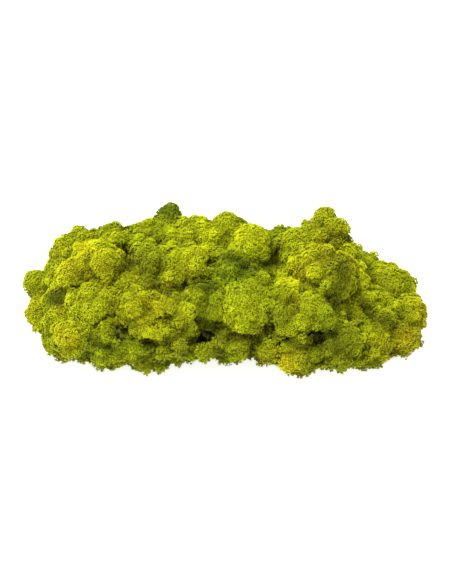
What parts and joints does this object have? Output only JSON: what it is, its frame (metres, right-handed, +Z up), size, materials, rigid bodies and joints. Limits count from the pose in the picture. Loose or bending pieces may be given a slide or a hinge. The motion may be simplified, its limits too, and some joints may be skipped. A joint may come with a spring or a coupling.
{
  "type": "preserved lichen clump",
  "caption": "Long loose clump of preserved lime-green reindeer lichen: rounded, finely branched heads pressed together, lying on flat spots under its low heads.",
  "frame": {"origin": "on the surface that the clump lies on, under the middle of its box", "axes": "+X along the clump's long side, -Y towards its front, +Z up"},
  "size_m": [0.2502, 0.1168, 0.0753],
  "materials": {
    "lichen_lime": "matte",
    "lichen_gold": "matte",
    "lichen_green": "matte"
  },
  "bodies": {
    "root": {"left_end_top": "lichen_green", "left_end_low": "lichen_gold", "left_shoulder": "lichen_lime", "left_peak": "lichen_lime", "left_brow": "lichen_gold", "left_crown": "lichen_lime", "left_ball": "lichen_gold", "left_cheek": "lichen_lime", "left_foot": "lichen_gold", "left_toe": "lichen_green", "left_belly": "lichen_lime", "left_skirt": "lichen_green", "upper_left": "lichen_lime", "upper_gold": "lichen_gold", "face_left": "lichen_green", "face_gold": "lichen_lime", "lap_gold": "lichen_gold", "skirt_left": "lichen_lime", "belly_gold": "lichen_gold", "belly_green": "lichen_green", "skirt_mid_left": "lichen_lime", "back_tuft": "lichen_green", "mid_crown": "lichen_lime", "mid_lobe": "lichen_lime", "mid_ridge": "lichen_green", "great_dome": "lichen_lime", "dome_cheek": "lichen_lime", "skirt_ball": "lichen_lime", "skirt_mid": "lichen_lime", "skirt_right": "lichen_lime", "right_crown": "lichen_gold", "right_peak": "lichen_gold", "right_face": "lichen_gold", "right_belly": "lichen_lime", "right_foot": "lichen_gold", "right_shade": "lichen_green", "right_mid": "lichen_green", "east_head": "lichen_lime", "east_back": "lichen_green", "east_top": "lichen_lime", "east_edge": "lichen_gold", "east_brow": "lichen_lime", "east_foot": "lichen_gold", "east_toe": "lichen_gold", "back_upper_1": "lichen_gold", "back_upper_2": "lichen_lime", "back_upper_3": "lichen_gold", "back_upper_4": "lichen_green", "back_upper_5": "lichen_lime", "back_middle_1": "lichen_lime", "back_middle_2": "lichen_gold", "back_middle_3": "lichen_green", "back_middle_4": "lichen_lime", "back_middle_5": "lichen_green", "back_middle_6": "lichen_gold", "back_low_1": "lichen_gold", "back_low_2": "lichen_lime", "back_low_3": "lichen_gold", "back_low_4": "lichen_green", "back_low_5": "lichen_lime"}
  },
  "joints": []
}
